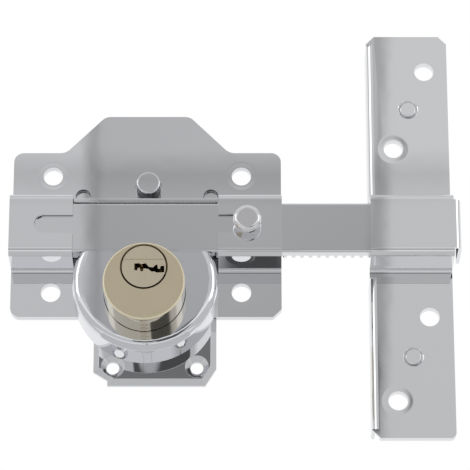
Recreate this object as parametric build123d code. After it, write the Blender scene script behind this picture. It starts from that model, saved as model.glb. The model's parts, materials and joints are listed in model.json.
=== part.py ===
"""Rim deadbolt: a pressed steel case with two raised loops, a flat bolt bar slid by a turned
knob or by a key, a round eccentric cylinder in a drawn cup, and a riveted keeper.

Millimetres. +X is the way the bolt is thrown, +Z is up and the face looks along -Y.
The door face is Y = 0 and the origin is where the plug's axis meets it. Outlines are drawn
in X and Z, and a depth is a distance in front of the door face. The bolt is shown thrown.
"""

from build123d import *
import math
import os

# Case plates
plate_half_width = 48.3
plate_bottom = -8.4
ear_top = 54.8
shoulder_rise = 14.3
crown_half_width = 15.3
crown_radius = 4.0
valley_radius = 5.0
ear_radius = 3.5
foot_cut = 3.0
back_sheet = 2.3
front_sheet = 1.2

# Screw holes of the case
screw_hole_radius = 3.5
screw_half_spacing = 34.0
screw_row_low = 0.8
screw_row_high = 45.6

# Raised loops of the case
loop_cup_gap = 0.1
loop_rise = 16.2
bend_radius = 1.3

# Bolt bar, knob and throw
bar_height = 18.6
bar_thickness = 7.0
bar_tail = -46.0
bar_length = 152.5
bar_end_radius = 1.2
knob_reach = 36.0
knob_height = 21.0
knob_shank_radius = 3.2
knob_stem_radius = 2.3
knob_neck_length = 0.8
knob_flare_length = 2.4
knob_head_radius = 5.0
knob_dome_radius = 1.6
knob_rise = 6.0
slide_gap = 0.3

# Rack and pinion
pinion_teeth = 24
pressure_angle = math.radians(20)
addendum_share = 0.6
root_clearance = 0.15
backlash = 0.12
rack_lead = 6.0
rack_width = 2.8

# Cylinder and plugs
cylinder_radius = 14.25
bar_over_cylinder = 1.8362
cylinder_reach = 28.5
cylinder_tail = 33.0
cylinder_edge = 0.5
plug_radius = 7.7
plug_gap = 0.05
plug_bevel = 0.6
clip_thickness = 0.8
clip_width = 2.3
clip_depth = 0.8
drive_width = 4.6
drive_length = 10.0
drive_gap = 0.15
pin_radius = 1.35
pin_gap = 0.1
front_pin_count = 4
rear_pin_count = 5
pin_margin = 2.8
driver_length = 4.0
chamber_plug_length = 1.8
spring_wire = 0.4
spring_turns = 4
spring_steps = 8
keyway_height = 2.7
keyway_left = 3.3
keyway_right = 7.1
key_land_height = 5.6
key_land_depth = 0.35

# Drawn cup
cup_radius = 25.7
cup_rise = 15.8
cup_edge_radius = 3.2

# Lower fixing plate
lower_left = -18.4
lower_right = 25.1
lower_bottom = -33.5
lower_bevel = 2.0
lower_cut_left = 5.0
lower_step_left = 3.1
lower_cut_right = 3.9
lower_slope_right = 6.3
lower_screw_left = -11.5
lower_screw_right = 18.25
lower_screw_height = -27.0
lower_screw_radius = 2.3
lower_sink_radius = 4.1
groove_depth = 1.0

# Stud and rivets of the case
stud_x = 0.6
stud_over_lip = 9.2
stud_radius = 4.25
stud_rise = 7.0
stud_hole_radius = 4.95
stud_edge = 0.4
stud_shank_radius = 3.0
rivet_head_radius = 2.6
rivet_head_height = 0.7
rivet_sink = 1.2
rivet_shank_radius = 1.6
upper_rivet_x = 23.0
upper_rivet_over_lip = 6.6
lower_rivet_x = 19.0
lower_rivet_height = -3.0
guide_rivet_x = 14.0
guide_sink_radius = 3.4
guide_lip = 1.4

# Keeper
keeper_left = 79.8
keeper_width = 29.5
keeper_bottom = -53.4
keeper_top = 101.2
keeper_cut = 3.0
keeper_radius = 2.0
keeper_flange = 8.0
keeper_tongue = 2.5
keeper_hole_outer_x = 100.9
keeper_hole_outer_low = -8.4
keeper_hole_outer_high = 87.0
keeper_hole_inner_x = 89.1
keeper_hole_inner_low = -39.7
keeper_hole_inner_high = 56.4
keeper_rivet_x = 94.8
keeper_rivet_low = -23.3
keeper_rivet_high = 72.0
keeper_rivet_radius = 2.9
keeper_rivet_rise = 0.3
keeper_dish_radius = 3.7
keeper_dish_depth = 0.7
keeper_shank_radius = 2.2

# Fits
seat_gap = 0.02
hole_gap = 0.15

# Depths worked out from the sheets and the rises
plate_face = back_sheet + front_sheet
loop_face = plate_face + loop_rise
bar_face = loop_face - front_sheet - slide_gap
bar_back = bar_face - bar_thickness
guide_face = bar_back - slide_gap
rack_face = bar_back + rack_width
pinion_back = bar_back + slide_gap
pinion_face = rack_face - slide_gap
drive_reach = (pinion_face - pinion_back - drive_gap) / 2
cup_face = plate_face + cup_rise
cylinder_face = plate_face + cylinder_reach
knob_tip = loop_face + knob_rise

# One turn of the key moves the bar its whole throw
throw = 2 * knob_reach
tooth_pitch = throw / pinion_teeth
pitch_radius = throw / (2 * math.pi)
addendum = addendum_share * tooth_pitch / math.pi
dedendum = addendum + root_clearance
pinion_radius = pitch_radius + addendum
bar_bottom = pitch_radius - addendum
bar_top = bar_bottom + bar_height
cylinder_drop = cylinder_radius + bar_over_cylinder - bar_bottom
bar_nose = bar_tail + bar_length
loop_bottom = bar_bottom - slide_gap - front_sheet
loop_top = bar_top + 2 * slide_gap + guide_lip + front_sheet
slot_half_height = knob_shank_radius + slide_gap
loop_inner_x = cup_radius + loop_cup_gap
loop_length = plate_half_width - loop_inner_x
lip_low = bar_top + slide_gap
lip_high = lip_low + guide_lip
stud_height = lip_high + stud_over_lip
upper_rivet_height = lip_high + upper_rivet_over_lip
slot_back = pinion_back - clip_thickness - 2 * slide_gap
slot_front = pinion_face + clip_thickness + 2 * slide_gap
bore_radius = plug_radius + plug_gap
cylinder_bottom = cylinder_drop + cylinder_radius
keeper_right = keeper_left + keeper_width


def slab(outline, depth, thickness):
    """A sheet with an outline in X and Z, from a depth towards the viewer."""
    return extrude(Plane.XZ.offset(depth) * outline, amount=thickness)


def disc(x, z, radius, depth, thickness):
    """A round slug along Y."""
    return slab(Pos(x, z) * Circle(radius), depth, thickness)


def block(x_low, x_high, depth_low, depth_high, z_low, z_high):
    """A box between named limits."""
    size = (x_high - x_low, depth_high - depth_low, z_high - z_low)
    middle = ((x_low + x_high) / 2, -(depth_low + depth_high) / 2, (z_low + z_high) / 2)
    return Pos(*middle) * Box(*size)


def upright(x, depth, radius, z_low, z_high):
    """A round slug along Z."""
    return Pos(x, -depth, z_low) * extrude(Circle(radius), amount=z_high - z_low)


def turned(x, z, profile):
    """A turned piece along Y, from (radius, depth) points that start and end on its axis."""
    points = [(radius, -depth) for radius, depth in profile]
    face = make_face(Polyline(*points, close=True))
    return Pos(x, 0, z) * revolve(face, Axis.Y)


def rounded(outline, corners):
    """An outline with its corners rounded: a list of (x, z, radius)."""
    for x, z, radius in corners:
        nearest = outline.vertices().sort_by_distance((x, z, 0))[0]
        outline = fillet(nearest, radius)
    return outline


def case_outline():
    """Two ears a side and a crown with sloping shoulders."""
    slope_x = crown_half_width + shoulder_rise
    crown_top = ear_top + shoulder_rise
    outline = make_face(
        Polyline(
            (-plate_half_width, plate_bottom),
            (plate_half_width - foot_cut, plate_bottom),
            (plate_half_width, plate_bottom + foot_cut),
            (plate_half_width, ear_top),
            (slope_x, ear_top),
            (crown_half_width, crown_top),
            (-crown_half_width, crown_top),
            (-slope_x, ear_top),
            (-plate_half_width, ear_top),
            close=True,
        )
    )
    corners = [(-plate_half_width, plate_bottom, ear_radius)]
    for side in (-1, 1):
        corners.append((side * plate_half_width, ear_top, ear_radius))
        corners.append((side * slope_x, ear_top, valley_radius))
        corners.append((side * crown_half_width, crown_top, crown_radius))
    return rounded(outline, corners)


def screw_places():
    """Centres of the four screw holes of the case."""
    rows = (screw_row_low, screw_row_high)
    return [(side * screw_half_spacing, z) for side in (-1, 1) for z in rows]


def rivet_places():
    """Centres of the four rivets that join the two case plates."""
    pairs = ((upper_rivet_x, upper_rivet_height), (lower_rivet_x, lower_rivet_height))
    return [(side * x, z) for side in (-1, 1) for x, z in pairs]


def guide_rivet_height():
    """Height of the rivets through the bolt guide, at the middle of the bar."""
    return bar_bottom + bar_height / 2


def loop_section(bottom, top, plate_depth, sheet, face_depth, foot):
    """A strip of sheet folded into a loop, as an outline in Z and depth."""
    outer = [(bottom - foot, plate_depth + sheet), (bottom, plate_depth + sheet)]
    outer += [(bottom, face_depth), (top, face_depth)]
    outer += [(top, plate_depth + sheet), (top + foot, plate_depth + sheet)]
    inner = [(top + foot, plate_depth), (top - sheet, plate_depth)]
    inner += [(top - sheet, face_depth - sheet), (bottom + sheet, face_depth - sheet)]
    inner += [(bottom + sheet, plate_depth), (bottom - foot, plate_depth)]
    section = make_face(Polyline(*outer, *inner, close=True))
    outside = bend_radius + sheet
    corners = [(*outer[1], bend_radius), (*outer[2], outside), (*outer[3], outside)]
    corners += [(*outer[4], bend_radius), (*inner[1], outside), (*inner[2], bend_radius)]
    corners += [(*inner[3], bend_radius), (*inner[4], outside)]
    return rounded(section, corners)


def loop_strip(section, x_low, x_high):
    """The folded strip between two places along X."""
    plane = Plane(origin=(x_low, 0, 0), x_dir=(0, 0, 1), z_dir=(1, 0, 0))
    return extrude(plane * section, amount=x_high - x_low)


def make_back_plate():
    plate = slab(case_outline(), 0, back_sheet)
    plate -= disc(0, -cylinder_drop, cylinder_radius + hole_gap, 0, back_sheet)
    plate -= disc(stud_x, stud_height, stud_shank_radius + seat_gap, 0, back_sheet)
    for x, z in screw_places():
        plate -= disc(x, z, screw_hole_radius, 0, back_sheet)
    for x, z in rivet_places():
        plate -= disc(x, z, rivet_shank_radius + seat_gap, 0, back_sheet)
        plate -= disc(x, z, rivet_head_radius + hole_gap, back_sheet - rivet_sink, rivet_sink)
    for side in (-1, 1):
        place = (side * guide_rivet_x, guide_rivet_height())
        plate -= disc(*place, rivet_shank_radius + seat_gap, 0, back_sheet)
    return plate


def make_front_plate():
    foot = bend_radius + front_sheet
    section = loop_section(loop_bottom, loop_top, back_sheet, front_sheet, loop_face, foot)
    plate = slab(case_outline(), back_sheet, front_sheet)
    for side in (-1, 1):
        x_low = min(side * plate_half_width, side * loop_inner_x)
        x_high = x_low + loop_length
        plate -= block(x_low, x_high, back_sheet, plate_face, loop_bottom - foot, loop_top + foot)
        plate += loop_strip(section, x_low, x_high)
        slot = Pos(side * knob_reach, knob_height) * Circle(slot_half_height)
        middle = side * (knob_reach + loop_inner_x) / 2
        length = knob_reach - loop_inner_x
        slot += Pos(middle, knob_height) * Rectangle(length, 2 * slot_half_height)
        plate -= slab(slot, bar_face, loop_face - bar_face)
    plate -= disc(0, -cylinder_drop, cylinder_radius + hole_gap, back_sheet, front_sheet)
    plate -= disc(stud_x, stud_height, stud_hole_radius, back_sheet, front_sheet)
    for x, z in screw_places():
        plate -= disc(x, z, screw_hole_radius, back_sheet, front_sheet)
    for x, z in rivet_places():
        plate -= disc(x, z, rivet_head_radius + hole_gap, back_sheet, front_sheet)
    for side in (-1, 1):
        place = (side * guide_rivet_x, guide_rivet_height())
        plate -= disc(*place, rivet_shank_radius + seat_gap, back_sheet, front_sheet)
    return plate


def make_case_rivets():
    """Four rivets, their heads deep in the holes of both plates."""
    rivets = []
    head_start = back_sheet - rivet_sink
    for x, z in rivet_places():
        rivet = disc(x, z, rivet_shank_radius, 0, head_start)
        rivet += disc(x, z, rivet_head_radius, head_start, rivet_head_height)
        rivets.append(rivet)
    return rivets


def make_stud():
    head_start = plate_face - front_sheet
    crown = plate_face + stud_rise
    profile = [(0, 0), (stud_shank_radius, 0), (stud_shank_radius, head_start)]
    profile += [(stud_radius, head_start), (stud_radius, crown - stud_edge)]
    profile += [(stud_radius - stud_edge, crown), (0, crown)]
    return turned(stud_x, stud_height, profile)


def make_bolt_guide():
    """Carries the bar clear of the plates, with a lip over its top edge between the loops."""
    z_low = bar_bottom
    z_high = bar_top
    reach = plate_half_width - slide_gap
    lip_reach = loop_inner_x - slide_gap
    guide = block(-reach, reach, plate_face, guide_face, z_low, z_high)
    for side in (-1, 1):
        near = side * (loop_inner_x + slide_gap)
        far = side * reach
        x_low, x_high = min(near, far), max(near, far)
        foot_low = z_low + front_sheet + bend_radius
        foot_high = z_high - front_sheet - bend_radius
        guide += block(x_low, x_high, back_sheet, plate_face, foot_low, foot_high)
    guide += block(-lip_reach, lip_reach, plate_face, guide_face, bar_bottom, lip_high)
    guide += block(-lip_reach, lip_reach, plate_face, bar_face, lip_low, lip_high)
    sink = guide_sink_radius - rivet_shank_radius
    for side in (-1, 1):
        place = (side * guide_rivet_x, guide_rivet_height())
        hole = rivet_shank_radius + seat_gap
        mouth = guide_sink_radius + seat_gap
        profile = [(0, plate_face), (hole, plate_face), (hole, guide_face - sink)]
        profile += [(mouth, guide_face), (0, guide_face)]
        guide -= turned(*place, profile)
    return guide


def make_guide_rivets():
    """Two countersunk rivets hold the guide to both plates."""
    sink = guide_sink_radius - rivet_shank_radius
    profile = [(0, 0), (rivet_shank_radius, 0), (rivet_shank_radius, guide_face - sink)]
    profile += [(guide_sink_radius, guide_face), (0, guide_face)]
    return [turned(side * guide_rivet_x, guide_rivet_height(), profile) for side in (-1, 1)]


def rack_gap(x):
    """The space between two rack teeth, in X and Z."""
    half = tooth_pitch / 4 + backlash / 4
    tip = pitch_radius - 2 * addendum
    root = pitch_radius + dedendum
    tip_half = half + 2 * addendum * math.tan(pressure_angle)
    root_half = half - dedendum * math.tan(pressure_angle)
    corners = [(x - tip_half, tip), (x + tip_half, tip), (x + root_half, root), (x - root_half, root)]
    return make_face(Polyline(*corners, close=True))


def make_bolt_bar():
    bar = block(bar_tail, bar_nose, bar_back, bar_face, bar_bottom, bar_top)
    bar = fillet(bar.edges().filter_by(Axis.X), bend_radius - slide_gap)
    bar = fillet(bar.edges().filter_by(Axis.Z), bar_end_radius)
    first = -round(rack_lead / tooth_pitch)
    last = pinion_teeth + round(rack_lead / tooth_pitch)
    for step in range(first, last + 1):
        bar -= slab(rack_gap(step * tooth_pitch), bar_back, rack_width)
    bar -= disc(knob_reach, knob_height, knob_stem_radius + seat_gap, bar_back, bar_thickness)
    return bar


def make_knob():
    """Turned: a stem in the bar, a shank through the slot and a head on a flared neck."""
    flare_start = loop_face + knob_neck_length
    head_start = flare_start + knob_flare_length
    profile = [(0, bar_back), (knob_stem_radius, bar_back), (knob_stem_radius, bar_face)]
    profile += [(knob_shank_radius, bar_face), (knob_shank_radius, flare_start)]
    profile += [(knob_head_radius, head_start), (knob_head_radius, knob_tip), (0, knob_tip)]
    knob = turned(knob_reach, knob_height, profile)
    rim = knob.edges().filter_by(GeomType.CIRCLE).sort_by(Axis.Y)[0]
    return fillet(rim, knob_dome_radius)


def involute(angle):
    return math.tan(angle) - angle


def make_pinion():
    """Twenty-four stub involute teeth and a slot that both plugs drive."""
    base_radius = pitch_radius * math.cos(pressure_angle)
    root_radius = pitch_radius - dedendum
    half_tooth = (tooth_pitch / 4 - backlash / 4) / pitch_radius + involute(pressure_angle)
    flank = [(root_radius, half_tooth)]
    for radius in (base_radius, pitch_radius, pinion_radius):
        flank.append((radius, half_tooth - involute(math.acos(base_radius / radius))))
    points = []
    for tooth in range(pinion_teeth):
        middle = math.pi / 2 + tooth * 2 * math.pi / pinion_teeth
        sides = [(radius, middle - half) for radius, half in flank]
        sides += [(radius, middle + half) for radius, half in reversed(flank)]
        points += [(radius * math.cos(a), radius * math.sin(a)) for radius, a in sides]
    wheel = slab(make_face(Polyline(*points, close=True)), pinion_back, pinion_face - pinion_back)
    slot = Rectangle(drive_length + 2 * seat_gap, drive_width + 2 * seat_gap)
    return wheel - slab(slot, pinion_back, pinion_face - pinion_back)


def pin_pitch():
    """The front pins share the room between the cylinder's face and the pinion's slot."""
    room = cylinder_face - slot_front - 2 * pin_margin
    return room / (front_pin_count - 1)


def front_pin_depths():
    last = cylinder_face - pin_margin
    return [last - step * pin_pitch() for step in range(front_pin_count)]


def rear_pin_depths():
    first = -cylinder_tail + pin_margin
    return [first + step * pin_pitch() for step in range(rear_pin_count)]


def make_cylinder_body():
    """One round bar, bored off its centre, slotted for the pinion and grooved for its plate."""
    length = cylinder_tail + cylinder_face
    body = disc(0, -cylinder_drop, cylinder_radius, -cylinder_tail, length)
    body = chamfer(body.edges().filter_by(GeomType.CIRCLE), cylinder_edge)
    body -= disc(0, 0, bore_radius, -cylinder_tail, length)
    bevel = [(0, cylinder_face - plug_bevel), (bore_radius, cylinder_face - plug_bevel)]
    bevel += [(bore_radius + plug_bevel, cylinder_face), (0, cylinder_face)]
    body -= turned(0, 0, bevel)
    slot_low = -pinion_radius - slide_gap
    side = 2 * cylinder_radius
    body -= block(-side, side, slot_back, slot_front, slot_low, side)
    ring = Circle(cylinder_radius + 1) - Circle(cylinder_radius - groove_depth)
    body -= slab(Pos(0, -cylinder_drop) * ring, -hole_gap, plate_face + 2 * hole_gap)
    for depth in front_pin_depths() + rear_pin_depths():
        body -= upright(0, depth, pin_radius + pin_gap, -cylinder_bottom - 1, 0)
    return body


def keyway_outline():
    """A warded key slot that steps down towards the edge, as shares of its length and height."""
    length = keyway_left + keyway_right
    top = [(0, 0.9), (0.15, 1), (0.22, 0.7), (0.38, 1), (0.48, 0), (0.62, -0.2), (0.71, 0.5)]
    top += [(0.77, 0.6), (0.79, -0.5), (0.85, -0.6), (0.88, 0.2), (1, 0.3)]
    bottom = [(1, -1.5), (0.75, -1.6), (0.68, -1.3), (0.57, -1.3), (0.47, -0.6), (0.31, -0.4)]
    bottom += [(0.29, -1.2), (0.21, -1.2), (0.18, -0.3), (0.12, -0.3), (0.09, -1), (0, -0.9)]
    points = [(-keyway_left + x * length, z * keyway_height / 2) for x, z in top + bottom]
    return make_face(Polyline(*points, close=True))


def make_plug(face_depth, inner_depth, pin_depths):
    """A plug between its face and the pinion, with a clip groove and a driving tongue."""
    way = 1 if face_depth > inner_depth else -1
    low = min(face_depth, inner_depth)
    length = abs(face_depth - inner_depth)
    plug = disc(0, 0, plug_radius, low, length)
    land = Rectangle(3 * plug_radius, key_land_height)
    land_low = min(face_depth, face_depth - way * key_land_depth)
    plug -= slab(land, land_low, key_land_depth)
    tongue_low = min(inner_depth, inner_depth - way * drive_reach)
    plug += slab(Rectangle(drive_length, drive_width), tongue_low, drive_reach)
    clip_near = inner_depth + way * slide_gap
    clip_low = min(clip_near, clip_near + way * clip_thickness)
    ring = Circle(plug_radius + 1) - Circle(plug_radius - clip_depth)
    plug -= slab(ring, clip_low, clip_thickness)
    for depth in pin_depths:
        plug -= upright(0, depth, pin_radius + pin_gap, -plug_radius - 1, 0)
    keyway_start = clip_near + way * (clip_thickness + slide_gap)
    keyway_low = min(face_depth, keyway_start)
    plug -= slab(keyway_outline(), keyway_low, abs(face_depth - keyway_start))
    return plug


def make_clip(inner_depth, way):
    """An open retaining ring in the groove of a plug."""
    near = inner_depth + way * slide_gap
    low = min(near, near + way * clip_thickness)
    inner = plug_radius - clip_depth + seat_gap
    ring = Circle(inner + clip_width) - Circle(inner)
    ring -= Pos(0, inner) * Rectangle(inner, 3 * clip_width)
    return slab(ring, low + seat_gap, clip_thickness - 2 * seat_gap)


def make_key_pins(depths):
    """Pins that lie inside the plug, with their feet just inside its edge."""
    foot = math.sqrt(plug_radius**2 - pin_radius**2) - pin_gap / 2
    top = keyway_height / 2 - pin_gap
    return [upright(0, depth, pin_radius, -foot, -top) for depth in depths]


def driver_low():
    return -bore_radius - pin_gap - driver_length


def chamber_floor():
    edge = math.sqrt(cylinder_radius**2 - (pin_radius + pin_gap) ** 2)
    return -cylinder_drop - edge + pin_gap


def make_driver_pins(depths):
    return [upright(0, depth, pin_radius, driver_low(), -bore_radius - pin_gap) for depth in depths]


def make_chamber_plugs(depths):
    """Plugs that close the pin chambers, their outer ends flush with the round body."""
    top = chamber_floor() + chamber_plug_length
    radius = pin_radius + pin_gap - seat_gap
    around = 2 * pin_radius
    plugs = []
    for depth in depths:
        plug = upright(0, depth, radius, -cylinder_bottom - 1, top)
        plug &= disc(0, -cylinder_drop, cylinder_radius, depth - around, 2 * around)
        plugs.append(plug.solids()[0])
    return plugs


def make_pin_springs(depths):
    """Wire springs between the drivers and the chamber plugs."""
    low = chamber_floor() + chamber_plug_length + spring_wire / 2 + seat_gap
    high = driver_low() - spring_wire / 2 - seat_gap
    radius = pin_radius - spring_wire / 2
    count = spring_turns * spring_steps
    points = []
    for step in range(count + 1):
        angle = 2 * math.pi * step / spring_steps
        height = low + (high - low) * step / count
        points.append((radius * math.cos(angle), radius * math.sin(angle), height))
    path = Polyline(*points)
    section = Plane(origin=path @ 0, z_dir=path % 0) * Rectangle(spring_wire, spring_wire)
    spring = sweep(section, path=path, transition=Transition.RIGHT)
    return [Pos(0, -depth, 0) * spring for depth in depths]


def make_cup():
    """Drawn from sheet, its top sliced off just under the bar."""
    wall = front_sheet
    cup = disc(0, 0, cup_radius, plate_face, cup_rise)
    rim = cup.edges().filter_by(GeomType.CIRCLE).sort_by(Axis.Y)[0]
    cup = fillet(rim, cup_edge_radius)
    hollow = disc(0, 0, cup_radius - wall, plate_face, cup_rise - wall)
    inner_rim = hollow.edges().filter_by(GeomType.CIRCLE).sort_by(Axis.Y)[0]
    cup -= chamfer(inner_rim, cup_edge_radius - wall)
    cup -= disc(0, -cylinder_drop, cylinder_radius + hole_gap, cup_face - wall, wall)
    top = bar_bottom - slide_gap
    cup -= block(-cup_radius, cup_radius, plate_face, cup_face, top, cup_radius)
    return cup


def make_lower_plate():
    """A bevelled plate on the door under the case, its saddle in the cylinder's groove."""
    top = plate_bottom - hole_gap
    outline = make_face(
        Polyline(
            (lower_left, top),
            (lower_left, lower_bottom + lower_bevel + lower_step_left),
            (lower_left + lower_cut_left, lower_bottom + lower_bevel),
            (lower_left + lower_cut_left, lower_bottom),
            (lower_right - lower_cut_right, lower_bottom),
            (lower_right, lower_bottom + lower_slope_right),
            (lower_right, top),
            close=True,
        )
    )
    plate = slab(outline, 0, plate_face)
    face_edges = plate.faces().sort_by(Axis.Y)[0].edges()
    plate = chamfer(face_edges.sort_by(Axis.Z)[:-1], lower_bevel)
    plate -= disc(0, -cylinder_drop, cylinder_radius - groove_depth + hole_gap, 0, plate_face)
    for x in (lower_screw_left, lower_screw_right):
        sink = lower_sink_radius - lower_screw_radius
        profile = [(0, 0), (lower_screw_radius, 0), (lower_screw_radius, plate_face - sink)]
        profile += [(lower_sink_radius, plate_face), (0, plate_face)]
        plate -= turned(x, lower_screw_height, profile)
    return plate


def keeper_outline(left):
    """A long strip with three cut corners and one rounded one, from a left edge."""
    cut_left = keeper_left + keeper_cut
    cut = cut_left - left
    outline = make_face(
        Polyline(
            (left, keeper_bottom + cut),
            (cut_left, keeper_bottom),
            (keeper_right, keeper_bottom),
            (keeper_right, keeper_top - keeper_cut),
            (keeper_right - keeper_cut, keeper_top),
            (cut_left, keeper_top),
            (left, keeper_top - cut),
            close=True,
        )
    )
    return rounded(outline, [(keeper_right, keeper_bottom, keeper_radius)])


def keeper_holes(depth, thickness):
    """The four screw holes and two rivet holes, as slugs to cut."""
    slugs = []
    for z in (keeper_hole_outer_low, keeper_hole_outer_high):
        slugs.append(disc(keeper_hole_outer_x, z, screw_hole_radius, depth, thickness))
    for z in (keeper_hole_inner_low, keeper_hole_inner_high):
        slugs.append(disc(keeper_hole_inner_x, z, screw_hole_radius, depth, thickness))
    for z in (keeper_rivet_low, keeper_rivet_high):
        radius = keeper_shank_radius + seat_gap
        slugs.append(disc(keeper_rivet_x, z, radius, depth, thickness))
    return slugs


def keeper_fold(plate):
    """Folds the edge nearest the door back round the frame, above and below the loop."""
    foot = bend_radius + front_sheet
    room = foot + slide_gap
    corners = [(keeper_left, keeper_flange), (keeper_left, -plate_face)]
    corners += [(keeper_left + room, -plate_face), (keeper_left + room, -back_sheet)]
    corners += [(keeper_left + front_sheet, -back_sheet), (keeper_left + front_sheet, keeper_flange)]
    section = make_face(Polyline(*corners, close=True))
    rounds = [(*corners[1], bend_radius + front_sheet), (*corners[4], bend_radius)]
    section = rounded(section, rounds)
    spans = (
        (keeper_bottom + keeper_cut + slide_gap, loop_bottom - foot - slide_gap),
        (loop_top + foot + slide_gap, keeper_top - keeper_cut - slide_gap),
    )
    for low, high in spans:
        plate -= block(keeper_left, keeper_left + room, back_sheet, plate_face, low, high)
        plate += Pos(0, 0, low) * extrude(section, amount=high - low)
    return plate


def make_keeper_plate():
    """Pressed sheet with one loop for the bolt, closed at its far end by a folded tongue."""
    foot = bend_radius + front_sheet
    section = loop_section(loop_bottom, loop_top, back_sheet, front_sheet, loop_face, foot)
    plate = slab(keeper_outline(keeper_left), back_sheet, front_sheet)
    window = (back_sheet, plate_face, loop_bottom - foot, loop_top + foot)
    plate -= block(keeper_left, keeper_right, *window)
    plate += loop_strip(section, keeper_left, keeper_right)
    plate = keeper_fold(plate)
    tongue_low = loop_bottom + front_sheet + bend_radius
    tongue_high = loop_top - front_sheet - bend_radius
    tongue_end = keeper_right + keeper_tongue
    tongue = block(keeper_right, tongue_end, plate_face, loop_face, tongue_low, tongue_high)
    corner = tongue.edges().filter_by(Axis.Z).sort_by(Axis.X)[-2:].sort_by(Axis.Y)[0]
    tongue = fillet(corner, keeper_tongue - seat_gap)
    inner = (plate_face, loop_face - front_sheet, tongue_low, tongue_high)
    tongue -= block(keeper_right, tongue_end - front_sheet, *inner)
    plate += tongue
    for slug in keeper_holes(back_sheet, front_sheet):
        plate -= slug
    for z in (keeper_rivet_low, keeper_rivet_high):
        bottom = plate_face - keeper_dish_depth
        dish = [(0, bottom), (keeper_rivet_radius + seat_gap, bottom)]
        dish += [(keeper_dish_radius, plate_face), (0, plate_face)]
        plate -= turned(keeper_rivet_x, z, dish)
    return plate


def make_keeper_back_plate():
    """A thicker backing plate inside the fold of the front sheet."""
    plate = slab(keeper_outline(keeper_left + front_sheet + bend_radius), 0, back_sheet)
    for slug in keeper_holes(0, back_sheet):
        plate -= slug
    return plate


def make_keeper_rivets():
    rivets = []
    for z in (keeper_rivet_low, keeper_rivet_high):
        crown = plate_face + keeper_rivet_rise
        shoulder = plate_face - keeper_dish_depth
        profile = [(0, 0), (keeper_shank_radius, 0), (keeper_shank_radius, shoulder)]
        profile += [(keeper_rivet_radius, shoulder), (keeper_rivet_radius, crown - keeper_rivet_rise)]
        profile += [(keeper_rivet_radius - keeper_rivet_rise, crown), (0, crown)]
        rivets.append(turned(keeper_rivet_x, z, profile))
    return rivets


def make_nodes():
    """Every piece by name."""
    front = front_pin_depths()
    rear = rear_pin_depths()
    return {
        "back_plate": make_back_plate(),
        "front_plate": make_front_plate(),
        "case_rivets": make_case_rivets(),
        "case_stud": make_stud(),
        "bolt_guide": make_bolt_guide(),
        "guide_rivets": make_guide_rivets(),
        "cylinder_cup": make_cup(),
        "lower_fixing_plate": make_lower_plate(),
        "cylinder_body": make_cylinder_body(),
        "front_driver_pins": make_driver_pins(front),
        "rear_driver_pins": make_driver_pins(rear),
        "front_pin_springs": make_pin_springs(front),
        "rear_pin_springs": make_pin_springs(rear),
        "front_chamber_plugs": make_chamber_plugs(front),
        "rear_chamber_plugs": make_chamber_plugs(rear),
        "keeper_plate": make_keeper_plate(),
        "keeper_back_plate": make_keeper_back_plate(),
        "keeper_rivets": make_keeper_rivets(),
        "bolt_bar": make_bolt_bar(),
        "knob": make_knob(),
        "front_plug": make_plug(cylinder_face, pinion_face, front),
        "rear_plug": make_plug(-cylinder_tail, pinion_back, rear),
        "front_key_pins": make_key_pins(front),
        "rear_key_pins": make_key_pins(rear),
        "front_clip": make_clip(pinion_face, 1),
        "rear_clip": make_clip(pinion_back, -1),
        "pinion": make_pinion(),
    }


os.makedirs("parts", exist_ok=True)
for name, shape in make_nodes().items():
    solids = shape if isinstance(shape, list) else shape.solids()
    piece = Compound(children=list(solids)) if len(solids) > 1 else solids[0]
    export_step(piece, f"parts/{name}.step")
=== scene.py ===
"""Looks of a rim deadbolt: chrome plated pressed steel, satin nickel on turned brass."""

import json
import math

import bmesh
import bpy
from bpy.props import FloatProperty, FloatVectorProperty, PointerProperty
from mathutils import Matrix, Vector
from mathutils.kdtree import KDTree


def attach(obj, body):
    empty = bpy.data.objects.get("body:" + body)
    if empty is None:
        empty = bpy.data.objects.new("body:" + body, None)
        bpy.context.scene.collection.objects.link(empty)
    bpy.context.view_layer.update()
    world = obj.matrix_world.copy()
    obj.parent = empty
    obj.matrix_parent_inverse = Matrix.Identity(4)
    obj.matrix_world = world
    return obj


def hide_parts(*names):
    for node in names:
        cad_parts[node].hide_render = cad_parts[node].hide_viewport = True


bl_info = {
    "name": "Rim Deadbolt Finish",
    "version": (1, 0, 0),
    "blender": (4, 5, 0),
    "location": "View3D > Sidebar > Deadbolt",
    "description": "Finishes the plates, bolt, cylinder and keeper of a rim deadbolt",
    "category": "Add Mesh",
}

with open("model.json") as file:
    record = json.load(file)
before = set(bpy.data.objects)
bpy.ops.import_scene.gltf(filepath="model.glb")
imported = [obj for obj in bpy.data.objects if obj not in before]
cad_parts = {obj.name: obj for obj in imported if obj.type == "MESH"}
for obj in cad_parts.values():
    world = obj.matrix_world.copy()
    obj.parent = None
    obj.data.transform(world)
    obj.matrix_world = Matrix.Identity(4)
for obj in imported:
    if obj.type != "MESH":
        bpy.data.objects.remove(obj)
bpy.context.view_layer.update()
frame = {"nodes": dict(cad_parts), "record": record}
MM = 0.001

# Where the camera looks, on the face of the case, and how much of it a frame's width takes in
AIM = Vector((31.7, -3.5, 22.9)) * MM
FRAME_WIDTH = 168.7 * MM
SENSOR_WIDTH = 36.0

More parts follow.
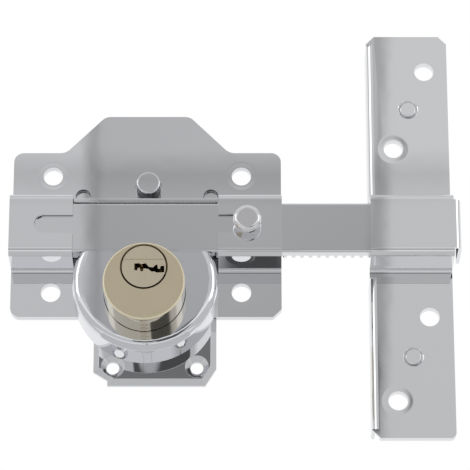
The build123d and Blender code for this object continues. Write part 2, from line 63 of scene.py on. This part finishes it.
# What the chrome mirrors in front of the lock, as brightness by elevation in degrees: a grey
# card over a dark band in the middle, and paler sides. The camera looks from -21.4, so plates
# mirror what stands at about 21.4, and seen from above they mirror the band under the horizon.
MIDDLE_BY_HEIGHT = (
    (-90, 0.5), (-55, 0.55), (-42, 0.92), (-25, 0.92), (-21.5, 0.56), (3, 0.56), (5, 1.0),
    (11, 1.0), (14.5, 0.5), (15.5, 0.2), (19.1, 0.22), (19.5, 0.49), (22.4, 0.53),
    (22.52, 0.44), (22.7, 0.61), (40, 0.64), (60, 0.8), (80, 0.9),
)
SIDES_BY_HEIGHT = (
    (-90, 0.5), (-55, 0.55), (-42, 0.92), (-25, 0.92), (-21.5, 0.64), (3, 0.68), (5, 1.0),
    (12, 1.0), (15, 0.66), (22.4, 0.68), (22.52, 0.58), (22.7, 0.74), (40, 0.74), (60, 0.8),
    (80, 0.9),
)
# By a direction's share along X: where the middle gives way to the sides, and the thin dark
# stripe that the card's edge makes there
CARD_FADE = (0.045, 0.047)
SHADE_BY_WIDTH = ((0.0, 1.0), (0.0435, 0.96), (0.045, 0.45), (0.0465, 0.5), (0.048, 1.0))
# Dark cards, as ranges of a direction's shares along X and Z
DARK_CARDS = (
    ((0.085, 0.33), (-0.345, 0.02)),  # mirrored in the side of the cylinder
    ((-0.1, 0.1), (-0.14, 0.02)),  # mirrored in the lower plate, under the cup
    ((-0.006, 0.02), (-0.62, -0.503)),  # mirrored in the foot of the right loop
)
DARK_CARD_SOFTNESS = 0.006
DARK_CARD_BRIGHTNESS = 0.1
# By a direction's share along Y: where the studio gives way to a plain room of one brightness,
# and where the metal starts to mirror the white background
ROOM_FADE = (-0.6, -0.2)
BACKDROP_FADE = (0.0, 0.2)
ROOM_BEHIND = 0.66
WHITE = (1.0, 1.0, 1.0, 1.0)
# In metres: the floor lies far down, because the camera looks up at the lock, and glows for
# the camera alone. The lamps are weak, because they show in the metal.
FLOOR_HALF, FLOOR_HEIGHT, FLOOR_GLOW = 2.0, -1.6, 0.36
LAMPS = (("left lamp", (-0.9, -0.7, 0.5)), ("right lamp", (1.0, -0.7, 0.4)))
LAMP_SIZE, LAMP_WATTS = 0.6, 1.1

# Bump height for a metre along X, Y and Z: a pressed wall leans out to its foot, the lower
# plate also falls back to its bottom, and the drawn cup's wall leans less
WALL_LEAN = (0.0, 0.087, 0.0)
LOWER_LEAN = (0.0, 0.087, 0.026)
CUP_LEAN = (0.0, 0.066, 0.0)
UPRIGHT = (0.0, 0.0, 0.0)

# Size and depth of the waves in plated sheet: the long ones of the press and those of its skin
PRESS_WAVE_MM, PRESS_DEPTH_MM = 22.0, 0.012
SKIN_WAVE_MM, SKIN_DEPTH_MM = 5.0, 0.0008
# How far round a punched hole the sheet sinks, and how deep
SINK_REACH_MM, SINK_DEPTH_MM = 2.4, 0.01
# Wiped plating differs in gloss from place to place
SMEAR_MM, SMEAR_SPREAD = 9.0, 0.3
# Turning marks on brass, drawn as coarse as they need to show, and its soft unevenness
TURNING_MM, TURNING_DEPTH_MM = 0.5, 0.0006
SOFT_MM, SOFT_DEPTH_MM = 9.0, 0.01
TONE_MM, TONE_SHADE = 7.0, 0.92
# Grain of drawn, oiled and zinc coated steel
DRAWN_GRAIN_MM, ZINC_GRAIN_MM, GRAIN_DEPTH_MM = 1.2, 0.8, 0.002

# Points closer than this are one, faces that turn less than this are flat, and edges that turn
# more than this are broken
WELD_MM = 0.002
FLAT_DEGREES = 0.6
SHARP_DEGREES = 28.0
BEVEL_SEGMENTS = 2
# A face whose normal's share along Y is under the first is a side, over the second a front,
# and one whose share along Z is under the third is an underside
SIDE_SHARE, FRONT_SHARE, UNDERSIDE_SHARE = 0.3, 0.97, -0.5
# How far round the rivets and the plug a painted shade reaches
RIVET_SHADE_MM, KEEPER_SHADE_MM, PLUG_SHADE_MM = 1.0, 1.2, 0.75
# The guide gets painted shade, a dark steel, from this far under the bar's top downwards
GUIDE_SHADE_MM = 0.5
# Screw holes left of this line are the case's, the others the keeper's
KEEPER_LINE_MM = 60.0

HIDDEN_STEEL = ("guide_rivets", "pinion", "front_clip", "rear_clip")
HIDDEN_SPRINGS = ("front_pin_springs", "rear_pin_springs")
HIDDEN_BRASS = ("front_driver_pins", "rear_driver_pins", "front_key_pins", "rear_key_pins")


def hex_colour(text):
    """An sRGB hex value as a linear colour with alpha."""
    channels = [int(text[start : start + 2], 16) / 255 for start in (0, 2, 4)]
    linear = [c / 12.92 if c <= 0.04045 else ((c + 0.055) / 1.055) ** 2.4 for c in channels]
    return (*linear, 1.0)


def add_node(tree, kind, inputs=None, **settings):
    """Adds a node, sets its values and links the sockets given as inputs."""
    node = tree.nodes.new(kind)
    for name, value in settings.items():
        setattr(node, name, value)
    for name, value in (inputs or {}).items():
        if isinstance(value, bpy.types.NodeSocket):
            tree.links.new(value, node.inputs[name])
        else:
            node.inputs[name].default_value = value
    return node


def new_material(name):
    """An empty node material with its output and its shader."""
    material = bpy.data.materials.new(name)
    material.use_nodes = True
    tree = material.node_tree
    tree.nodes.clear()
    shader = add_node(tree, "ShaderNodeBsdfPrincipled")
    output = add_node(tree, "ShaderNodeOutputMaterial")
    tree.links.new(shader.outputs["BSDF"], output.inputs["Surface"])
    return material, tree, shader


def ripple(tree, position, feature_mm, depth_mm, detail=2.0):
    """Soft unevenness: a noise whose features and depth are real sizes."""
    noise = add_node(
        tree,
        "ShaderNodeTexNoise",
        {"Vector": position, "Scale": 1 / (feature_mm * MM), "Detail": detail},
    )
    height = add_node(
        tree,
        "ShaderNodeMath",
        {0: noise.outputs["Fac"], 1: depth_mm * MM},
        operation="MULTIPLY",
    )
    return height.outputs["Value"]


def chrome_plate(name, colour, roughness, holes=(), lean=UPRIGHT):
    """Bright chrome on pressed, drawn or turned steel.

    The plating is a mirror, so what shows is the steel under it: long ripples from the press,
    a shallow sink round each punched hole, and the slight lean of walls that left a die.
    """
    material, tree, shader = new_material(name)
    position = add_node(tree, "ShaderNodeTexCoord").outputs["Object"]
    height = ripple(tree, position, PRESS_WAVE_MM, PRESS_DEPTH_MM)
    fine = ripple(tree, position, SKIN_WAVE_MM, SKIN_DEPTH_MM)
    total = add_node(tree, "ShaderNodeMath", {0: height, 1: fine}).outputs["Value"]
    slope = add_node(
        tree, "ShaderNodeVectorMath", {0: position, 1: lean}, operation="DOT_PRODUCT"
    ).outputs["Value"]
    total = add_node(tree, "ShaderNodeMath", {0: total, 1: slope}).outputs["Value"]
    flat = add_node(
        tree,
        "ShaderNodeVectorMath",
        {0: position, 1: (1.0, 0.0, 1.0)},
        operation="MULTIPLY",
    ).outputs["Vector"]
    for x, z, radius in holes:
        away = add_node(
            tree,
            "ShaderNodeVectorMath",
            {0: flat, 1: (x * MM, 0.0, z * MM)},
            operation="DISTANCE",
        ).outputs["Value"]
        sink = add_node(
            tree,
            "ShaderNodeMapRange",
            {
                "Value": away,
                "From Min": radius * MM,
                "From Max": (radius + SINK_REACH_MM) * MM,
                "To Min": -SINK_DEPTH_MM * MM,
                "To Max": 0.0,
            },
            interpolation_type="SMOOTHSTEP",
        ).outputs["Result"]
        total = add_node(tree, "ShaderNodeMath", {0: total, 1: sink}).outputs["Value"]
    bump = add_node(tree, "ShaderNodeBump", {"Height": total, "Distance": 1.0, "Strength": 1.0})
    smear = add_node(
        tree,
        "ShaderNodeTexNoise",
        {"Vector": position, "Scale": 1 / (SMEAR_MM * MM), "Detail": 4.0},
    )
    gloss = add_node(
        tree,
        "ShaderNodeMapRange",
        {
            "Value": smear.outputs["Fac"],
            "To Min": roughness * (1 - SMEAR_SPREAD),
            "To Max": roughness * (1 + SMEAR_SPREAD),
        },
    )
    tree.links.new(bump.outputs["Normal"], shader.inputs["Normal"])
    tree.links.new(gloss.outputs["Result"], shader.inputs["Roughness"])
    shader.inputs["Base Color"].default_value = colour
    shader.inputs["Metallic"].default_value = 1.0
    return material


def satin_brass(name, colour, roughness):
    """Satin nickel on turned brass: even satin with a faint grain and a soft change of tone."""
    material, tree, shader = new_material(name)
    position = add_node(tree, "ShaderNodeTexCoord").outputs["Object"]
    grain = ripple(tree, position, TURNING_MM, TURNING_DEPTH_MM, 3.0)
    soft = ripple(tree, position, SOFT_MM, SOFT_DEPTH_MM)
    height = add_node(tree, "ShaderNodeMath", {0: grain, 1: soft}).outputs["Value"]
    bump = add_node(tree, "ShaderNodeBump", {"Height": height, "Distance": 1.0, "Strength": 1.0})
    tone = add_node(
        tree,
        "ShaderNodeTexNoise",
        {"Vector": position, "Scale": 1 / (TONE_MM * MM), "Detail": 3.0},
    )
    shade = (*(channel * TONE_SHADE for channel in colour[:3]), 1.0)
    mixed = add_node(
        tree,
        "ShaderNodeMix",
        {"Factor": tone.outputs["Fac"], "A": colour, "B": shade},
        data_type="RGBA",
    )
    tree.links.new(mixed.outputs["Result"], shader.inputs["Base Color"])
    tree.links.new(bump.outputs["Normal"], shader.inputs["Normal"])
    shader.inputs["Metallic"].default_value = 1.0
    shader.inputs["Roughness"].default_value = roughness
    return material


def grained_steel(name, colour, roughness, grain_mm=DRAWN_GRAIN_MM, metallic=1.0):
    """Drawn, oiled or zinc coated steel: dull, with a fine grain."""
    material, tree, shader = new_material(name)
    position = add_node(tree, "ShaderNodeTexCoord").outputs["Object"]
    height = ripple(tree, position, grain_mm, GRAIN_DEPTH_MM, 4.0)
    bump = add_node(tree, "ShaderNodeBump", {"Height": height, "Distance": 1.0, "Strength": 1.0})
    tree.links.new(bump.outputs["Normal"], shader.inputs["Normal"])
    shader.inputs["Base Color"].default_value = colour
    shader.inputs["Metallic"].default_value = metallic
    shader.inputs["Roughness"].default_value = roughness
    return material


def body_of(node):
    """The body that a CAD node rides on."""
    bodies = frame["record"]["behaviour"]["bodies"]
    return next(body for body, nodes in bodies.items() if node in nodes)


def dressed(node, material, edge_mm):
    """A copy of a CAD node with its edges broken, standing for that node."""
    mesh = frame["nodes"][node].data.copy()
    mesh.name = node + "_finished"
    made = bmesh.new()
    made.from_mesh(mesh)
    bmesh.ops.remove_doubles(made, verts=made.verts, dist=WELD_MM * MM)
    bmesh.ops.dissolve_limit(
        made, angle_limit=math.radians(FLAT_DEGREES), verts=made.verts, edges=made.edges
    )
    made.to_mesh(mesh)
    made.free()
    mesh.shade_smooth()
    piece = bpy.data.objects.new(node + "_finished", mesh)
    bpy.context.scene.collection.objects.link(piece)
    bevel = piece.modifiers.new("broken edges", "BEVEL")
    bevel.width = edge_mm * MM
    bevel.segments = BEVEL_SEGMENTS
    bevel.limit_method = "ANGLE"
    bevel.angle_limit = math.radians(SHARP_DEGREES)
    even = piece.modifiers.new("flat faces stay flat", "WEIGHTED_NORMAL")
    even.weight = 100
    settle(piece)
    wear(piece, material)
    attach(piece, body_of(node))
    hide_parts(node)
    return piece


def settle(piece):
    """Applies a piece's modifiers to its mesh."""
    evaluated = piece.evaluated_get(bpy.context.evaluated_depsgraph_get())
    mesh = bpy.data.meshes.new_from_object(evaluated)
    piece.modifiers.clear()
    piece.data = mesh


def wear(piece, material):
    """Gives a piece one material."""
    piece.data.materials.clear()
    piece.data.materials.append(material)


def wear_sides(piece, sides, edges=None):
    """Gives the faces that don't look along Y a second material, and their edges a third."""
    piece.data.materials.append(sides)
    if edges:
        piece.data.materials.append(edges)
    for face in piece.data.polygons:
        along = abs(face.normal.y)
        if along < SIDE_SHARE:
            face.material_index = 1
        elif edges and along < FRONT_SHARE:
            face.material_index = 2


def paint_shade_round(piece, node, reach_mm, material, under=SIDE_SHARE):
    """Gives the faces close round another node, seen from the front, a material of their own, the
    painted shade of a hole or gap.

    Only faces whose normal's share along Y is under the value given get it.
    """
    points = [(vertex.co.x, 0.0, vertex.co.z) for vertex in frame["nodes"][node].data.vertices]
    tree = KDTree(len(points))
    for index, point in enumerate(points):
        tree.insert(point, index)
    tree.balance()
    piece.data.materials.append(material)
    slot = len(piece.data.materials) - 1
    for face in piece.data.polygons:
        _, _, away = tree.find((face.center.x, 0.0, face.center.z))
        if abs(face.normal.y) < under and away < reach_mm * MM:
            face.material_index = slot


def wear_node(node, material):
    """Gives a CAD node a material, leaving its mesh alone."""
    carrier = frame["nodes"][node]
    if not carrier.material_slots:
        carrier.data.materials.append(None)
    for slot in carrier.material_slots:
        slot.material = material


def screw_holes():
    """Centres and radii of the punched screw holes, from the record's mounts, in millimetres."""
    holes = []
    for mount in frame["record"]["mounts"]:
        if mount["kind"] != "bolt_pattern":
            continue
        sizes = mount["dims"]
        x, _, z = (value / MM for value in mount["pos_m"])
        across = sizes.get("spacing_x_mm", 0.0) / 2
        up = sizes.get("spacing_y_mm", 0.0) / 2
        for place in {(x + i * across, z + j * up) for i in (-1, 1) for j in (-1, 1)}:
            holes.append((*place, sizes["hole_r_mm"]))
    return sorted(holes)


class DeadboltSettings(bpy.types.PropertyGroup):
    """Sizes and finishes of the deadbolt."""

    edge_break: FloatProperty(
        name="Edge break",
        description="Width of the broken edges, in millimetres",
        default=0.22,
        min=0.02,
        max=1.0,
    )
    chrome_roughness: FloatProperty(
        name="Chrome roughness",
        description="How much the plating blurs what it mirrors",
        default=0.02,
        min=0.0,
        max=1.0,
        subtype="FACTOR",
    )
    case_colour: FloatVectorProperty(
        name="Case chrome",
        description="Plating on the case plates, their rivets and the stud",
        default=hex_colour("DCDDE0"),
        size=4,
        min=0.0,
        max=1.0,
        subtype="COLOR",
    )
    bar_colour: FloatVectorProperty(
        name="Bar chrome",
        description="Plating on the sliding bar and its guide",
        default=hex_colour("D6D7DA"),
        size=4,
        min=0.0,
        max=1.0,
        subtype="COLOR",
    )
    knob_colour: FloatVectorProperty(
        name="Knob chrome",
        description="Plating on the turned knob",
        default=hex_colour("E0E0E2"),
        size=4,
        min=0.0,
        max=1.0,
        subtype="COLOR",
    )
    cup_colour: FloatVectorProperty(
        name="Cup chrome",
        description="Plating on the drawn cup",
        default=hex_colour("DCDDE1"),
        size=4,
        min=0.0,
        max=1.0,
        subtype="COLOR",
    )
    keeper_colour: FloatVectorProperty(
        name="Keeper chrome",
        description="Plating on the keeper and its rivets",
        default=hex_colour("E0E1E3"),
        size=4,
        min=0.0,
        max=1.0,
        subtype="COLOR",
    )
    cylinder_colour: FloatVectorProperty(
        name="Cylinder nickel",
        description="Satin nickel on the cylinder's face",
        default=hex_colour("D2C6AC"),
        size=4,
        min=0.0,
        max=1.0,
        subtype="COLOR",
    )
    plug_colour: FloatVectorProperty(
        name="Plug nickel",
        description="Satin nickel on the face of the plug",
        default=hex_colour("DACFB8"),
        size=4,
        min=0.0,
        max=1.0,
        subtype="COLOR",
    )
    view_elevation: FloatProperty(
        name="Camera elevation",
        description="Height of the camera over the object, negative from below",
        default=math.radians(-21.4),
        subtype="ANGLE",
    )
    view_distance: FloatProperty(
        name="Camera distance",
        description="Distance from the camera to the face of the case",
        default=1.1,
        unit="LENGTH",
    )


class DEADBOLT_OT_case(bpy.types.Operator):
    """Finish the two case plates, their rivets, the stud and the lower plate"""

    bl_idname = "deadbolt.case"
    bl_label = "Case plates"

    def execute(self, context):
        settings = context.scene.deadbolt
        rough = settings.chrome_roughness
        colour = settings.case_colour
        holes = [hole for hole in screw_holes() if hole[0] < KEEPER_LINE_MM]
        sheet = chrome_plate("chrome_on_pressed_sheet", colour, rough, holes, WALL_LEAN)
        lower = chrome_plate("chrome_on_lower_sheet", colour, rough, holes, LOWER_LEAN)
        plain = chrome_plate("chrome_on_turned_steel", colour, rough)
        # Painted shade: dark steel on the sides of the rivets and the stud, and on the plate's
        # faces round the rivets, where the holes lie in shadow
        dark = grained_steel("painted_shade_in_case_holes", hex_colour("4A4B4F"), 0.35)
        dressed("back_plate", sheet, settings.edge_break)
        front = dressed("front_plate", sheet, settings.edge_break)
        paint_shade_round(front, "case_rivets", RIVET_SHADE_MM, dark)
        dressed("lower_fixing_plate", lower, settings.edge_break)
        for node in ("case_rivets", "case_stud"):
            wear_sides(dressed(node, plain, settings.edge_break), dark)
        return {"FINISHED"}


class DEADBOLT_OT_bolt(bpy.types.Operator):
    """Finish the sliding bar, its guide and its turned knob"""

    bl_idname = "deadbolt.bolt"
    bl_label = "Bolt and knob"

    def execute(self, context):
        settings = context.scene.deadbolt
        rough = settings.chrome_roughness
        bar = chrome_plate("chrome_on_drawn_bar", settings.bar_colour, rough * 1.3)
        turned = chrome_plate("chrome_on_turned_knob", settings.knob_colour, rough * 0.8)
        # Painted shade: dark steel on the guide's faces under the bar's top, where the space
        # behind the bar lies in shadow
        behind_bar_shade = grained_steel("painted_shade_on_guide", hex_colour("5A5B5E"), 0.45)
        zinc = grained_steel("zinc_coat_under_lip", hex_colour("D8D9DC"), 0.6, ZINC_GRAIN_MM, 0.0)
        dressed("bolt_bar", bar, settings.edge_break)
        guide = dressed("bolt_guide", bar, settings.edge_break)
        guide.data.materials.append(behind_bar_shade)
        guide.data.materials.append(zinc)
        bar_top = max(corner[2] for corner in frame["nodes"]["bolt_bar"].bound_box)
        for face in guide.data.polygons:
            if face.center.z < bar_top - GUIDE_SHADE_MM * MM:
                face.material_index = 1
            elif face.normal.z < UNDERSIDE_SHARE:
                face.material_index = 2
        dressed("knob", turned, settings.edge_break)
        return {"FINISHED"}


class DEADBOLT_OT_cup(bpy.types.Operator):
    """Finish the drawn cup round the cylinder"""

    bl_idname = "deadbolt.cup"
    bl_label = "Drawn cup"

    def execute(self, context):
        settings = context.scene.deadbolt
        drawn = chrome_plate(
            "chrome_on_drawn_cup",
            settings.cup_colour,
            settings.chrome_roughness,
            lean=CUP_LEAN,
        )
        dressed("cylinder_cup", drawn, settings.edge_break)
        return {"FINISHED"}


class DEADBOLT_OT_cylinder(bpy.types.Operator):
    """Finish the round cylinder and both plugs"""

    bl_idname = "deadbolt.cylinder"
    bl_label = "Cylinder"

    def execute(self, context):
        settings = context.scene.deadbolt
        body = satin_brass("satin_nickel_on_turned_brass", settings.cylinder_colour, 0.26)
        plug = satin_brass("satin_nickel_on_plug_brass", settings.plug_colour, 0.22)
        turned = satin_brass("polished_nickel_on_turned_brass", hex_colour("DCD3BC"), 0.07)
        # Painted highlight: paler, rougher brass on the cylinder's edge faces, for the bright
        # line round its rim
        edge = satin_brass("painted_highlight_brass_edge", hex_colour("F3E9CD"), 0.5)
        cylinder = dressed("cylinder_body", body, settings.edge_break)
        wear_sides(cylinder, turned, edge)
        # Painted shade: dark brass on the cylinder's bevel round the front plug, for the shadowed
        # gap round it
        bevel = satin_brass("painted_shade_brass_bevel", hex_colour("6E6249"), 0.18)
        paint_shade_round(cylinder, "front_plug", PLUG_SHADE_MM, bevel, under=FRONT_SHARE)
        for node in ("front_chamber_plugs", "rear_chamber_plugs"):
            wear_node(node, body)
        # Painted shade: dark brass on the plugs' edge faces, for the shadowed gap round each plug
        plug_gap_shade = satin_brass("painted_shade_plug_gap", hex_colour("40382A"), 0.4)
        for node in ("front_plug", "rear_plug"):
            wear_sides(dressed(node, plug, settings.edge_break), turned, plug_gap_shade)
        return {"FINISHED"}


class DEADBOLT_OT_keeper(bpy.types.Operator):
    """Finish the keeper's two plates and their rivets"""

    bl_idname = "deadbolt.keeper"
    bl_label = "Keeper"

    def execute(self, context):
        settings = context.scene.deadbolt
        rough = settings.chrome_roughness
        colour = settings.keeper_colour
        holes = [hole for hole in screw_holes() if hole[0] > KEEPER_LINE_MM]
        sheet = chrome_plate("chrome_on_keeper_sheet", colour, rough, holes, WALL_LEAN)
        plain = chrome_plate("chrome_on_rivet_heads", colour, rough)
        # Painted shade: dark steel on the keeper plate's faces round its rivets, where the holes
        # lie in shadow
        dark = grained_steel("painted_shade_in_keeper_holes", hex_colour("4A4B4F"), 0.35)
        front = dressed("keeper_plate", sheet, settings.edge_break)
        paint_shade_round(front, "keeper_rivets", KEEPER_SHADE_MM, dark)
        dressed("keeper_back_plate", sheet, settings.edge_break)
        dressed("keeper_rivets", plain, settings.edge_break)
        return {"FINISHED"}


class DEADBOLT_OT_inner(bpy.types.Operator):
    """Finish the pinion, rings, pins and springs inside"""

    bl_idname = "deadbolt.inner"
    bl_label = "Inner parts"

    def execute(self, context):
        steel = grained_steel("zinc_plated_steel", hex_colour("A9ACB0"), 0.35)
        wire = grained_steel("drawn_spring_wire", hex_colour("8E9094"), 0.30)
        brass = satin_brass("turned_pin_brass", hex_colour("D8B676"), 0.25)
        finishes = ((HIDDEN_STEEL, steel), (HIDDEN_SPRINGS, wire), (HIDDEN_BRASS, brass))
        for nodes, material in finishes:
            for node in nodes:
                wear_node(node, material)
        return {"FINISHED"}


class DEADBOLT_OT_studio(bpy.types.Operator):
    """Set the floor, the lights, the camera and what the chrome mirrors"""

    bl_idname = "deadbolt.studio"
    bl_label = "Studio"

    def execute(self, context):
        settings = context.scene.deadbolt
        make_floor()
        make_world(context.scene)
        for name, place in LAMPS:
            make_lamp(name, place)
        make_camera(context.scene, settings.view_elevation, settings.view_distance)
        context.scene.view_settings.view_transform = "Standard"
        return {"FINISHED"}


def make_floor():
    """A pale floor well below the lock, out of the camera's way."""
    mesh = bpy.data.meshes.new("floor")
    signs = ((-1, -1), (1, -1), (1, 1), (-1, 1))
    corners = [(i * FLOOR_HALF, j * FLOOR_HALF, FLOOR_HEIGHT) for i, j in signs]
    mesh.from_pydata(corners, [], [(0, 1, 2, 3)])
    floor = bpy.data.objects.new("floor", mesh)
    bpy.context.scene.collection.objects.link(floor)
    material, tree, shader = new_material("pale_floor")
    shader.inputs["Base Color"].default_value = hex_colour("F2F2F2")
    shader.inputs["Roughness"].default_value = 0.9
    ray = add_node(tree, "ShaderNodeLightPath").outputs["Is Camera Ray"]
    glow = add_node(tree, "ShaderNodeMath", {0: ray, 1: FLOOR_GLOW}, operation="MULTIPLY")
    shader.inputs["Emission Color"].default_value = WHITE
    tree.links.new(glow.outputs["Value"], shader.inputs["Emission Strength"])
    floor.data.materials.append(material)


def make_world(scene):
    """White to the camera and, behind the lock, to the metal; a grey studio in front of it."""
    world = bpy.data.worlds.new("studio")
    scene.world = world
    world.use_nodes = True
    tree = world.node_tree
    tree.nodes.clear()
    direction = add_node(tree, "ShaderNodeTexCoord").outputs["Generated"]
    across, away, height = add_node(tree, "ShaderNodeSeparateXYZ", {"Vector": direction}).outputs
    plain, behind = (
        add_node(
            tree,
            "ShaderNodeMapRange",
            {"Value": away, "From Min": low, "From Max": high},
            interpolation_type="SMOOTHSTEP",
        ).outputs["Result"]
        for low, high in (ROOM_FADE, BACKDROP_FADE)
    )
    ray = add_node(tree, "ShaderNodeLightPath").outputs
    mirrored = add_node(
        tree,
        "ShaderNodeMath",
        {0: ray["Is Glossy Ray"], 1: ray["Is Transmission Ray"]},
        operation="MAXIMUM",
    ).outputs["Value"]
    backdrop = add_node(
        tree, "ShaderNodeMath", {0: mirrored, 1: behind}, operation="MULTIPLY"
    ).outputs["Value"]
    seen = studio_in_front(tree, across, height)
    for share, brightness in (
        (plain, ROOM_BEHIND),
        (backdrop, 1.0),
        (ray["Is Camera Ray"], 1.0),
    ):
        seen = add_node(
            tree, "ShaderNodeMix", {"Factor": share, "A": seen, "B": brightness}
        ).outputs["Result"]
    light = add_node(tree, "ShaderNodeBackground", {"Color": WHITE, "Strength": seen})
    output = add_node(tree, "ShaderNodeOutputWorld")
    tree.links.new(light.outputs["Background"], output.inputs["Surface"])


def studio_in_front(tree, across, height):
    """How bright the studio is, by a direction's shares along X and Z.

    A card beside the camera stands between two paler sides, with a few darker cards.
    """
    aside = add_node(tree, "ShaderNodeMath", {0: across}, operation="ABSOLUTE").outputs["Value"]
    level = add_node(
        tree, "ShaderNodeMapRange", {"Value": height, "From Min": -1.0, "From Max": 1.0}
    ).outputs["Result"]
    middle, sides, shade = (
        add_node(tree, "ShaderNodeValToRGB", {"Fac": value}) for value in (level, level, aside)
    )
    fill_ramp(middle, [(level_of(degrees), grey) for degrees, grey in MIDDLE_BY_HEIGHT])
    fill_ramp(sides, [(level_of(degrees), grey) for degrees, grey in SIDES_BY_HEIGHT])
    fill_ramp(shade, SHADE_BY_WIDTH)
    low, high = CARD_FADE
    beside = add_node(
        tree,
        "ShaderNodeMapRange",
        {"Value": aside, "From Min": low, "From Max": high},
        interpolation_type="SMOOTHSTEP",
    ).outputs["Result"]
    bright = add_node(
        tree,
        "ShaderNodeMix",
        {"Factor": beside, "A": middle.outputs["Color"], "B": sides.outputs["Color"]},
    ).outputs["Result"]
    bright = add_node(
        tree, "ShaderNodeMath", {0: bright, 1: shade.outputs["Color"]}, operation="MULTIPLY"
    ).outputs["Value"]
    for ranges in DARK_CARDS:
        card = 1.0
        for value, (low, high) in zip((across, height), ranges):
            for edge, inward in ((low, DARK_CARD_SOFTNESS), (high, -DARK_CARD_SOFTNESS)):
                inside = add_node(
                    tree,
                    "ShaderNodeMapRange",
                    {"Value": value, "From Min": edge - inward, "From Max": edge + inward},
                    interpolation_type="SMOOTHSTEP",
                ).outputs["Result"]
                card = add_node(
                    tree, "ShaderNodeMath", {0: card, 1: inside}, operation="MULTIPLY"
                ).outputs["Value"]
        bright = add_node(
            tree, "ShaderNodeMix", {"Factor": card, "A": bright, "B": DARK_CARD_BRIGHTNESS}
        ).outputs["Result"]
    return bright


def level_of(degrees):
    """Where an elevation lies from straight down, at 0, to straight up, at 1."""
    return (math.sin(math.radians(degrees)) + 1) / 2


def fill_ramp(node, stops):
    """Gives a ramp its (position, brightness) stops."""
    ramp = node.color_ramp
    while len(ramp.elements) < len(stops):
        ramp.elements.new(0.5)
    for element, (position, grey) in zip(ramp.elements, stops):
        element.position = position
        element.color = (grey, grey, grey, 1.0)


def make_lamp(name, place):
    """A soft square lamp that looks at the object."""
    data = bpy.data.lights.new(name, "AREA")
    data.size = LAMP_SIZE
    data.energy = LAMP_WATTS
    lamp = bpy.data.objects.new(name, data)
    lamp.location = place
    lamp.rotation_mode = "QUATERNION"
    lamp.rotation_quaternion = (AIM - Vector(place)).to_track_quat("-Z", "Y")
    bpy.context.scene.collection.objects.link(lamp)


def make_camera(scene, elevation, distance):
    """A long lens below the lock, square on to it, as in the photograph."""
    data = bpy.data.cameras.new("camera")
    data.sensor_width = SENSOR_WIDTH
    data.lens = SENSOR_WIDTH * distance / FRAME_WIDTH
    data.clip_start = 0.01
    camera = bpy.data.objects.new("camera", data)
    back = Vector((0.0, -math.cos(elevation), math.sin(elevation)))
    camera.location = AIM + back * distance
    camera.rotation_mode = "QUATERNION"
    camera.rotation_quaternion = (-back).to_track_quat("-Z", "Y")
    scene.collection.objects.link(camera)
    scene.camera = camera


class DEADBOLT_PT_panel(bpy.types.Panel):
    """Lists the steps that finish the deadbolt"""

    bl_idname = "DEADBOLT_PT_panel"
    bl_label = "Rim deadbolt"
    bl_space_type = "VIEW_3D"
    bl_region_type = "UI"
    bl_category = "Deadbolt"

    def draw(self, context):
        settings = context.scene.deadbolt
        for name in DeadboltSettings.__annotations__:
            self.layout.prop(settings, name)
        for step in STEPS:
            self.layout.operator(step.bl_idname)


STEPS = (
    DEADBOLT_OT_case,
    DEADBOLT_OT_bolt,
    DEADBOLT_OT_cup,
    DEADBOLT_OT_cylinder,
    DEADBOLT_OT_keeper,
    DEADBOLT_OT_inner,
    DEADBOLT_OT_studio,
)
CLASSES = (DeadboltSettings, *STEPS, DEADBOLT_PT_panel)


def register():
    for kind in CLASSES:
        bpy.utils.register_class(kind)
    bpy.types.Scene.deadbolt = PointerProperty(type=DeadboltSettings)


def unregister():
    del bpy.types.Scene.deadbolt
    for kind in reversed(CLASSES):
        bpy.utils.unregister_class(kind)


def main():
    """Finishes the whole lock and sets up its studio."""
    register()
    bpy.ops.deadbolt.case()
    bpy.ops.deadbolt.bolt()
    bpy.ops.deadbolt.cup()
    bpy.ops.deadbolt.cylinder()
    bpy.ops.deadbolt.keeper()
    bpy.ops.deadbolt.inner()
    bpy.ops.deadbolt.studio()


if __name__ == "__main__":
    main()
